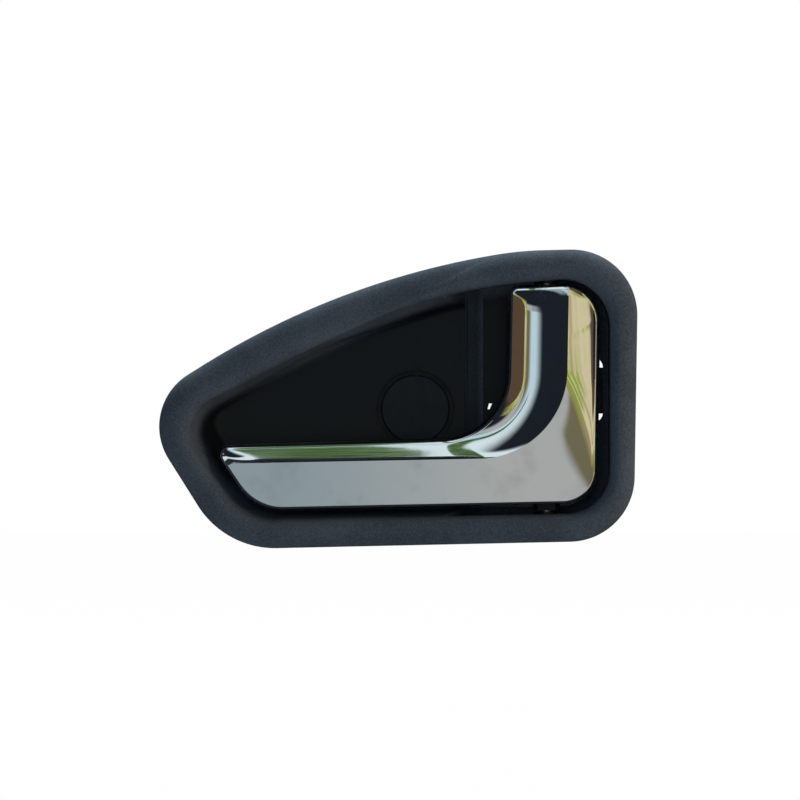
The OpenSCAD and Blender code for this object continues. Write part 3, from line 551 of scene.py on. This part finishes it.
def fine_rail(pieces):
    """Joins (dense points, coarse steps) pieces and places fine steps whose spacing changes gently."""
    dense, marks = [pieces[0][0][0]], [0.0]
    for points, count in pieces:
        start = walked(dense)[-1]
        dense = dense + list(points[1:])
        marks += list(np.linspace(start, walked(dense)[-1], count + 1)[1:])
    dense, run = np.array(dense), walked(dense)
    steps = np.linspace(0, len(marks) - 1, (len(marks) - 1) * FINE + 1)
    at = np.interp(steps, np.arange(len(marks)), marks)
    before, after = 2 * at[0] - at[1:SOFT + 1][::-1], 2 * at[-1] - at[-SOFT - 1:-1][::-1]
    at = np.convolve(np.concatenate([before, at, after]), bell(SOFT, SOFT_SIGMA), "same")[SOFT:-SOFT]
    at[0], at[-1] = 0, run[-1]
    return np.stack([np.interp(at, run, dense[:, 0]), np.interp(at, run, dense[:, 1])], 1)


tip, elbow, limb_corner = (corner_arc(LEVER_CORNERS, i, 60) for i in (1, 2, 3))
shoulder, heel, chin = (corner_arc(LEVER_CORNERS, i, 60)[::-1] for i in (4, 5, 0))
ridge_turn = corner_arc([(*RIDGE_START, 1), RIDGE_CORNER, (*RIDGE_TOP, 1)], 1, 90)


def split(a, b, at, axis=0):
    """The point between a and b where x, or z with axis 1, is at."""
    return mix(a, b, (at - a[axis]) / (b[axis] - a[axis]))


under_mid = split(chin[-1], heel[0], SPLIT_AT)
side_mid = split(heel[-1], shoulder[0], SPLIT_AT, 1)
ridge_split = split(np.array(RIDGE_START), ridge_turn[0], RIDGE_SPLIT_AT)
inner_rail = fine_rail([(tip[30:], 4), (spaced(tip[-1], elbow[0], 9), ARM - 4), (elbow, BEND),
                        (spaced(elbow[-1], limb_corner[0], 9), 9), (limb_corner, 3)])
tip_side = spaced(tip[0], chin[0], 20)
outer_rail = fine_rail([(tip_side[9:], 3), (chin, 6), (spaced(chin[-1], under_mid, 9), 9),
                        (spaced(under_mid, heel[0], 5), 5), (heel, 8), (spaced(heel[-1], side_mid, 5), 5),
                        (spaced(side_mid, shoulder[0], 4), 4), (shoulder[:37], 8)])
ridge_rail = fine_rail([(spaced(RIDGE_START, ridge_split, 9), ARM),
                        (evenly([ridge_split, *ridge_turn], 200), BEND),
                        (spaced(ridge_turn[-1], RIDGE_TOP, 9), LIMB)])

ROWS = STEPS * FINE
across_band = 1 - np.array([0, 0.012, 0.03, 0.06, 0.1, 0.15, 0.21, 0.28, 0.36, 0.44,
                            0.52, 0.6, 0.68, 0.76, 0.83, 0.89, 0.94, 0.975, 1])
across_face = np.array([0.004, 0.01, 0.02, 0.035, 0.06, 0.1, 0.16, 0.23, 0.31, 0.39,
                        0.47, 0.55, 0.63, 0.71, 0.78, 0.85, 0.91, 0.96, 1])
BAND = len(across_band) - 1
COLS = BAND + len(across_face)


def on_band(j):
    return j <= BAND


def share_of(j):
    """Column j's share of the way from the ridge to the inner or to the outer edge."""
    return across_band[j] if on_band(j) else across_face[j - BAND - 1]


def ease(t):
    """A soft step from 0 to 1 while t goes from 0 to 1."""
    t = np.clip(t, 0, 1)
    return t ** 3 * (t * (6 * t - 15) + 10)


def end_points(ridge_point, curve):
    """Places of the columns along one end of the shell, with the ridge's column nearest to the ridge."""
    run = walked(curve)
    curve = np.array(curve)
    nearest = run[np.linalg.norm(curve - ridge_point, axis=1).argmin()]
    places = []
    for j in range(COLS + 1):
        s = share_of(j)
        at = nearest * (1 - s) if on_band(j) else mix(nearest, run[-1], s)
        places.append([np.interp(at, run, curve[:, 0]), np.interp(at, run, curve[:, 1])])
    return np.array(places)


tip_end = end_points(ridge_rail[0], [*tip[:31][::-1], *tip_side[1:10]])
top_end = end_points(ridge_rail[-1], [*spaced(inner_rail[-1], shoulder[-1], 80), *shoulder[36:-1][::-1]])
lever_ring = np.concatenate([inner_rail, top_end[1:-1], outer_rail[::-1], tip_end[1:-1][::-1]])
COUNT = len(lever_ring)


def ring_place(i, j):
    """Index on the closed outline of row i and column j, which lie on the grid's edge."""
    if j == 0:
        return i
    if i == ROWS:
        return ROWS + j
    return 2 * ROWS + COLS - i if j == COLS else COUNT - j


def skin_place(ring, i, j):
    """Where the crossing of row i and column j lies on the skin, seen from the front."""
    if i in (0, ROWS) or j in (0, COLS):
        return ring[ring_place(i, j)]
    return mix(ridge_rail[i], ring[ring_place(i, 0 if on_band(j) else COLS)], share_of(j))


# How far the skin falls back behind the crown. On the arm the band rolls away from the ridge; on the limb it
# is the scoop, deepest at VALLEY of the way to the inner edge. The face falls evenly, and rolls on the limb.
TIP_FALL, TIP_STEPS = 0.8, 3
BAND_FALL, BAND_POWER, BAND_LIP, BAND_LIP_POWER = 3.15, 1.8, 0.25, 12
SCOOP_DEPTH, SCOOP_TILT, SCOOP_RUNOUT, VALLEY, RIDGE_SIDE, INNER_SIDE = 3.4, 0.9, 4, 0.7, 2.4, 1.3
FACE_FALL, FLANK_FALL, FLANK_CURVE, FLANK_LIP, FLANK_LIP_POWER, LIMB_X = 1.6, 3.6, 0.15, 0.5, 40, 61.3
BAND_TURN, FACE_TURN = (ARM + 3, BEND - 2), (ARM + 0.45 * BEND, 0.6 * BEND)


def depth_at(row, j):
    """How far the skin lies behind the crown."""
    i, s = row / FINE, share_of(j)
    if on_band(j):
        tip_fall = TIP_FALL * max(0, 1 - i / TIP_STEPS) ** 2
        arm_form = BAND_FALL * (1 - (1 - s) ** BAND_POWER) + BAND_LIP * (1 - (1 - s) ** BAND_LIP_POWER)
        if s < VALLEY:
            valley = 1 - ((VALLEY - s) / VALLEY) ** RIDGE_SIDE
        else:
            valley = 1 - ((s - VALLEY) / (1 - VALLEY)) ** INNER_SIDE
        limb_form = ease((STEPS - i) / SCOOP_RUNOUT) * SCOOP_DEPTH * valley + SCOOP_TILT * s
        return tip_fall + mix(arm_form, limb_form, ease((i - BAND_TURN[0]) / BAND_TURN[1]))
    ridge_x = ridge_rail[row][0]
    t = np.clip((skin_place(lever_ring, row, j)[0] - ridge_x) / (LIMB_X - ridge_x), 0, 1)
    rolled = FLANK_FALL * ((1 - FLANK_CURVE) * t + FLANK_CURVE * t ** 2) + FLANK_LIP * t ** FLANK_LIP_POWER
    return mix(FACE_FALL * s, rolled, ease((i - FACE_TURN[0]) / FACE_TURN[1]))


# The depths are smoothed along the rows, then the face's left end is laid on one plane below the ridge.
BLUR, BLUR_SIGMA = 12, 4
PLANE_SLOPE, PLANE_STEPS, FADE_STEPS = 0.1026, 4, 8
depths = np.array([[depth_at(row, j) for j in range(COLS + 1)] for row in range(ROWS + 1)])
padded = np.concatenate([depths[1:BLUR + 1][::-1], depths, depths[-BLUR - 1:-1][::-1]])
depths = np.stack([np.convolve(column, bell(BLUR, BLUR_SIGMA), "same")[BLUR:-BLUR] for column in padded.T], 1)
along_arm = unit(np.array(RIDGE_CORNER[:2]) - np.array(RIDGE_START))
away = np.array([along_arm[1], -along_arm[0]])
for row in range((PLANE_STEPS + FADE_STEPS) * FINE):
    for j in range(BAND + 1, COLS + 1):
        below = float((skin_place(lever_ring, row, j) - np.array(RIDGE_START)) @ away)
        share = ease((row / FINE - PLANE_STEPS) / FADE_STEPS)
        depths[row, j] = mix(PLANE_SLOPE * max(0, below), depths[row, j], share)


def skin_rows(ring, more):
    """The grid of points of a skin whose edge is the given ring."""
    points = np.zeros((ROWS + 1, COLS + 1, 3))
    for i in range(ROWS + 1):
        for j in range(COLS + 1):
            x, z = skin_place(ring, i, j)
            points[i, j] = (x, LEVER_Y + depths[i, j] + more, z)
    return points.reshape(-1, 3)


edge_cells = ([(i, 0) for i in range(ROWS)] + [(ROWS, j) for j in range(COLS)]
              + [(ROWS - i, COLS) for i in range(ROWS)] + [(0, COLS - j) for j in range(COLS)])
edge_depth = np.array([depths[i, j] for i, j in edge_cells])
edge_index = [i * (COLS + 1) + j for i, j in edge_cells]
cavity_ring = grow(lever_ring, -SHELL_WALL)
front_skin = skin_rows(grow(lever_ring, -EDGE_R), 0)
back_skin = skin_rows(cavity_ring, SHELL_WALL)
rounding = [at_y(grow(lever_ring, -EDGE_R * (1 - math.sin(t))),
                 LEVER_Y + edge_depth + EDGE_R * (1 - math.cos(t))) for t in turns(90, 5)[1:]]
lip = [(DRAFT_W, LIP_H + 0.6), (DRAFT_W + 0.1, LIP_H + 0.3), (LIP_W - 0.14, LIP_H + 0.04),
       (LIP_W, LIP_H - 0.2), (LIP_W, 0.18), (LIP_W - 0.16, 0)]
side_rings = rounding + [at_y(grow(lever_ring, w), LEVER_BACK - h) for w, h in lip]
side_rings.append(at_y(cavity_ring, LEVER_BACK))


def skin_faces(first, flip):
    faces = []
    for i in range(ROWS):
        for j in range(COLS):
            a = first + i * (COLS + 1) + j
            b = a + COLS + 1
            faces.append([a, a + 1, b + 1, b] if flip else [a, b, b + 1, a + 1])
    return faces


skin_count = len(front_skin)
side_index = [[2 * skin_count + r * COUNT + k for k in range(COUNT)] for r in range(len(side_rings))]
belt_index = [edge_index] + side_index + [[skin_count + e for e in edge_index]]
shell_faces = skin_faces(0, False) + skin_faces(skin_count, True)
for a, b in zip(belt_index, belt_index[1:]):
    shell_faces += [[b[k], b[(k + 1) % COUNT], a[(k + 1) % COUNT], a[k]] for k in range(COUNT)]
shell = solid("lever_plating", np.concatenate([front_skin, back_skin] + side_rings), shell_faces)

# Posts for the four screws inside the shell, and notches in its edge that clear the hinge's bosses
SCREW_PLACES = [(-44, -23.5), (-10, -23.8), (24, -22.5), (53, 33)]
POST_FRONT, POST_R, SHANK_R, SHANK_SKIN = LEVER_Y + 1.9, 2.3, 1.25, 1.2
PLATE_FRONT = LEVER_BACK - 2.4
NOTCH, NOTCH_H = 4.6, 6
for place in SCREW_PLACES:
    joined(shell, prism(circle(POST_R, place, 48), POST_FRONT, PLATE_FRONT - 0.05))
for place in SCREW_PLACES:
    cut(shell, prism(circle(SHANK_R, place, 32), POST_FRONT + SHANK_SKIN, LEVER_BACK))
for z in (wall_low, wall_top - NOTCH_H):
    cut(shell, block((HINGE[0] - NOTCH, HINGE[1] - NOTCH, z),
                     (HINGE[0] + NOTCH, LEVER_BACK + 1, z + NOTCH_H)))
shade(shell, 28)
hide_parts("lever_shell")
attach(shell, "lever")

# The shell's plating: bright chrome with the faint smears of a hand, and a few hairline scratches near the
# top of the scoop that run down to the left.
chrome = Finish("bright_chrome")
smears = chrome.step(chrome.noise(60, 3, 0.6), 0.5, 0.8)
near = chrome.vector("DISTANCE", chrome.stretched(1, 0, 1), (0.0435, 0, 0.0392), "Value")
slanted = [chrome.vector("DOT_PRODUCT", chrome.place(), way, "Value")
           for way in ((0.55, 0, -0.75), (0.06, 0, 0.05))]
hairs = chrome.noise(2600, 1, 0.5, at=chrome.node("ShaderNodeCombineXYZ", {}, dict(enumerate(slanted))))
hairs = chrome.step(hairs, 0.6, 0.66) * chrome.step(near, 0.0042, 0.0022)
chrome.surface(Base_Color=chrome.colour(rgb(222, 224, 228), rgb(205, 207, 212), smears), Metallic=1.0,
               Roughness=0.035 + 0.06 * smears + 0.35 * hairs,
               Normal=chrome.bump(chrome.noise(120, 2), 0.00002, 0.25))
chrome.on(shell)


# Carrier inside the shell, with the hinge barrel and the rear arm. It is moulded in black glass-filled
# plastic, slightly matt and mottled, and screwed to the shell from behind.
def moulding(name, dark, light, roughness, scale=700, depth=0.00003):
    """A plain moulded plastic with flecks between two colours."""
    finish = Finish(name)
    flecks = finish.noise(scale, 3, 0.6)
    colour = finish.colour(rgb(*dark), rgb(*light), finish.step(flecks, 0.35, 0.65))
    wear = finish.step(finish.noise(scale / 4, 2), 0.3, 0.7, roughness - 0.06, roughness + 0.06)
    return finish.surface(Base_Color=colour, Roughness=wear, Specular_IOR_Level=0.35,
                          Normal=finish.bump(flecks, depth, 0.6))


moulding("black_glass_filled", (22, 22, 23), (34, 34, 36), 0.5).on(nodes["lever_carrier"])

# Four self-tapping screws that go through the carrier into the shell's posts. They are zinc-plated steel,
# like the sleeve.
zinc.on(*[nodes[f"shell_screw_{i}"] for i in (1, 2, 3, 4)])

# Bushes in the surround's top and bottom walls that the pin turns in. They are pressed in, and moulded in
# black acetal, which is smooth and slightly waxy.
acetal = moulding("black_acetal", (14, 14, 15), (20, 20, 22), 0.38, 1500, 0.00001)
acetal.on(nodes["upper_bush"], nodes["lower_bush"])


# Upright hinge pin of ground steel, with fine rings round it from the grinding, and the push-on ring of
# oiled spring steel that keeps it in.
def bare_steel(name, dark, light, low, high, grain_at):
    """Bare steel with oil marks, and grinding lines stretched along each axis by grain_at."""
    finish = Finish(name)
    lines = finish.noise(900, 2, 0.6, at=finish.stretched(*grain_at))
    oil = finish.noise(150, 3)
    colour = finish.colour(rgb(*dark), rgb(*light), finish.step(oil, 0.35, 0.65))
    return finish.surface(Base_Color=colour, Metallic=1.0,
                          Roughness=finish.step(oil * 0.5 + lines * 0.5, 0.3, 0.7, low, high),
                          Normal=finish.bump(lines, 0.00001, 0.4))


ground_steel = bare_steel("ground_steel", (160, 160, 163), (186, 186, 188), 0.2, 0.34, (0.3, 0.3, 4))
ground_steel.on(nodes["hinge_pin"])
oiled = bare_steel("oiled_spring_steel", (74, 76, 82), (112, 114, 118), 0.28, 0.45, (1, 1, 1))
oiled.on(nodes["pin_ring"])

# Return spring: turns of round wire on the pin, one leg on the surround's anchor and one in the lever's
# post. The coil winds up between the two bodies, so its lower leg turns with the lever.
POST_X, WIRE_STEPS, WIRE_SIDES = HINGE[0] - 8.6, 40, 12
LEG_PAST, LEG_SHORT, LEG_STRAIGHT, LEG_END = 2.4, 3, 5, 0.9


def swept(name, path, radius, sides):
    """A round bar along a list of points."""
    path = np.array(path, float)
    along = np.gradient(path, axis=0)
    along /= np.linalg.norm(along, axis=1)[:, None]
    across = np.cross(along, (0, 0, 1))
    across /= np.linalg.norm(across, axis=1)[:, None]
    up = np.cross(across, along)
    return loft(name, [p + radius * (np.outer(np.cos(a), u) + np.outer(np.sin(a), v))
                       for p, u, v in zip(path, across, up) for a in [turns(360, sides)[:-1]]])


coil = [(HINGE[0] + COIL_R * math.cos(t), HINGE[1] + COIL_R * math.sin(t),
         COIL_LOW + COIL_PITCH * (math.pi / 2 - t) / math.tau)
        for t in turns(90 - 360 * COIL_TURNS, int(COIL_TURNS * WIRE_STEPS), 90)]
lower_leg = [(x, HINGE[1] + COIL_R, COIL_LOW) for x in (POST_X - LEG_PAST, POST_X + LEG_SHORT)]
upper_leg = [(leg_x, y, coil_high) for y in (HINGE[1] + LEG_STRAIGHT, POCKET_Y - LEG_END)]
spring = swept("torsion_spring", lower_leg + coil + upper_leg, WIRE_D / 2, WIRE_SIDES)
shade(spring, 60)
oiled.on(spring)
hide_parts("return_spring")
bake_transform(spring)

# Rubber button that the lever's lug closes against, and rubber pad that its arm meets when fully open. Both
# are moulded in black rubber with a dusty bloom, and pushed on the surround.
rubber = Finish("black_rubber")
dust = rubber.step(rubber.noise(260, 4, 0.65), 0.5, 0.8)
rubber.surface(Base_Color=rubber.colour(rgb(20, 20, 20), rgb(44, 43, 41), dust), Roughness=0.8,
               Normal=rubber.bump(rubber.noise(1800, 2), 0.00003, 0.7))
rubber.on(nodes["rest_stop"], nodes["open_stop"])

# Swivelling clip at the arm's end that takes the latch rod. It is moulded in natural acetal, which is cream
# and slightly waxy.
moulding("natural_acetal", (205, 200, 178), (222, 218, 198), 0.42, 300, 0.00001).on(nodes["rod_clip"])

# Three folded clips on the surround's tabs that grip the door trim. They are spring steel, hardened and
# oiled like the pin's ring.
oiled.on(nodes["trim_clip_1"], nodes["trim_clip_2"], nodes["trim_clip_3"])


# Studio. A wide pale floor that the lens sees as white paper, three soft lamps, and a curved screen round
# the object that only mirror-like surfaces see.
CENTRE = Vector((-5.2, -31, 3.1)) * MM
WIDTH, FAR = 268 * MM, 3.0


def staged(name, points, faces):
    """A mesh of the studio, in metres."""
    mesh = bpy.data.meshes.new(name)
    mesh.from_pydata(points, [], faces)
    obj = bpy.data.objects.new(name, mesh)
    bpy.context.scene.collection.objects.link(obj)
    return obj


floor = staged("studio_floor", [(-4, -4, -0.1), (4, -4, -0.1), (4, 4, -0.1), (-4, 4, -0.1)], [(0, 1, 2, 3)])
pale = Finish("studio_pale")
sight = pale.node("ShaderNodeLightPath")
paper = pale.node("ShaderNodeBsdfDiffuse", {}, {"Color": rgb(165, 168, 172)})
white = pale.node("ShaderNodeEmission", {}, {"Color": (1, 1, 1, 1), "Strength": 1})
pale.ends_in(pale.node("ShaderNodeMixShader", {}, {0: sight * 0.99, 1: paper, 2: white})).on(floor)
floor.visible_glossy = False

# The screen that the chrome mirrors: pale sky with a hedge in it, grey ground, a dark side on the left and
# sunlit trees on the right. Its bands are set by compass and climb in degrees, and by over, the climb seen
# along X.
SCREEN_R, ROUND, RISE = 1.6, 72, 36
DEGREES = 180 / math.pi


def on_screen(compass_angle, climb_angle):
    level = SCREEN_R * math.cos(climb_angle)
    return level * math.sin(compass_angle), -level * math.cos(compass_angle), SCREEN_R * math.sin(climb_angle)


screen_points = [on_screen(a, e) for e in turns(90, RISE, -90) for a in turns(180, ROUND, -180)]
screen_faces = [(k + i, k + i + 1, k + i + ROUND + 2, k + i + ROUND + 1)
                for k in range(0, RISE * (ROUND + 1), ROUND + 1) for i in range(ROUND)]
screen = staged("studio_screen", screen_points, screen_faces)
for rays in ("camera", "diffuse", "shadow", "transmission", "volume_scatter"):
    setattr(screen, f"visible_{rays}", False)
view = Finish("studio_screen_view")
toward = view.node("ShaderNodeVectorMath", {"operation": "NORMALIZE"}, {0: view.place()})
side, depth, height = view.parts(toward)
compass = view.maths("ARCTAN2", side, depth * -1) * DEGREES
climb = view.maths("ARCSINE", height) * DEGREES
over = view.maths("ARCTAN2", height, depth * -1) * DEGREES
leaves = view.noise(7, 3, 0.6)
trunks = view.noise(2.6, 2, 0.5, at=view.stretched(1.5, 1.5, 0.3))
DARK = (0.014, 0.019, 0.025, 1)
ground = view.colour((0.33, 0.4, 0.42, 1), (0.5, 0.51, 0.48, 1), view.step(compass, -2.4, 2.6))
ground = view.colour(DARK, ground, view.step(climb, -24, -14))
sky = view.colour((0.62, 0.8, 0.86, 1), (0.86, 1.0, 1.0, 1), view.step(climb, 0, 30))
sky = view.colour(sky, (0.47, 0.49, 0.47, 1), view.step(compass, 3.5, 7) * view.step(climb, 30, 20))
sky = view.colour(sky, (0.2, 0.18, 0.1, 1), view.step(compass, 10, 18) * view.step(climb, 30, 20))
hedge = view.step(view.noise(22, 4, 0.7) + (side + 0.02) * -6, 0.38, 0.46)
hedge = hedge * view.step(side, -0.014, -0.02) * view.step(side, -0.09, -0.07)
hedge = hedge * view.step(over, 4, 8) * view.step(over, 98, 86)
twigs = view.step(view.noise(26, 4, 0.7), 0.42, 0.66)
sky = view.colour(sky, view.colour((0.03, 0.06, 0.03, 1), (0.24, 0.4, 0.14, 1), twigs), hedge)
wood = view.colour((0.8, 0.7, 0.42, 1), (0.42, 0.33, 0.16, 1), view.step(trunks, 0.46, 0.5))
streaks = view.step(view.noise(7, 3, 0.6, at=view.stretched(4, 4, 1)), 0.46, 0.54)
streaks = streaks * view.step(climb, 1.0, 0.0)
crowns = view.step(leaves, 0.44, 0.5) * view.step(over, 3, 8) * view.step(over, 34, 26)
wood = view.colour(wood, (0.3, 0.42, 0.02, 1), view.maths("MAXIMUM", streaks, crowns))
wood = view.colour(wood, (0.06, 0.045, 0.02, 1), view.step(leaves * 0.6 + trunks * 0.4, 0.6, 0.63))
wood = view.colour(wood, (0.12, 0.075, 0.045, 1), view.step(compass, 47, 49))
around = view.colour(ground, sky, view.step(climb, -5, -3))
in_wood = view.step(compass, 30, 34) * view.step(climb, -34, -22) * view.step(climb, 58, 48)
around = view.colour(around, wood, in_wood)
around = view.colour(around, DARK, view.step(compass, -8, -20) * view.step(climb, 62, 50))
around = view.colour(around, DARK, view.step(over, 104, 109))
view.surface(Base_Color=(0, 0, 0, 1), Roughness=1.0, Specular_IOR_Level=0.0, Emission_Color=around,
             Emission_Strength=1.0)
view.on(screen)


def lamp(name, place, size, power, colour):
    """A soft rectangular lamp at a place from the object's middle, turned towards it."""
    light = bpy.data.lights.new(name, "AREA")
    light.shape, light.size, light.size_y = "RECTANGLE", size[0], size[1]
    light.energy, light.color = power, colour
    obj = bpy.data.objects.new(name, light)
    bpy.context.scene.collection.objects.link(obj)
    obj.location = CENTRE + Vector(place)
    obj.rotation_euler = Vector(place).to_track_quat("Z", "Y").to_euler()
    obj.visible_glossy = False


lamp("overhead", (0.1, 0.45, 1.3), (1.0, 0.8), 43, (0.93, 0.98, 1))
lamp("right", (1.4, -0.3, 0.2), (0.8, 0.8), 15, (1, 0.8, 0.62))
lamp("front", (-0.2, -1.5, 0.2), (0.6, 0.6), 2.65, (0.8, 0.9, 1))

# The air round it all is white to the lens and to mirrors, and a dim blue light to everything else.
air = Finish("studio_air", "worlds")
bpy.context.scene.world = air.owner
seen, shiny, through = (air.node("ShaderNodeLightPath", {}, {}, f"Is {ray} Ray")
                        for ray in ("Camera", "Glossy", "Transmission"))
shown = air.maths("MAXIMUM", air.maths("MAXIMUM", seen, shiny), through)
glow = air.colour((0.072, 0.09, 0.12, 1), (1, 1, 1, 1), shown)
air.ends_in(air.node("ShaderNodeBackground", {}, {"Color": glow}), "ShaderNodeOutputWorld")

camera = bpy.data.objects.new("camera", bpy.data.cameras.new("camera"))
bpy.context.scene.collection.objects.link(camera)
camera.data.sensor_width, camera.data.lens = 36, 36 * FAR / WIDTH
camera.data.clip_start, camera.data.clip_end = 0.05, 20
camera.location = CENTRE + Vector((0, -FAR, 0))
camera.rotation_euler = (math.radians(90), 0, 0)
bpy.context.scene.camera = camera
bpy.context.scene.view_settings.view_transform = "Standard"
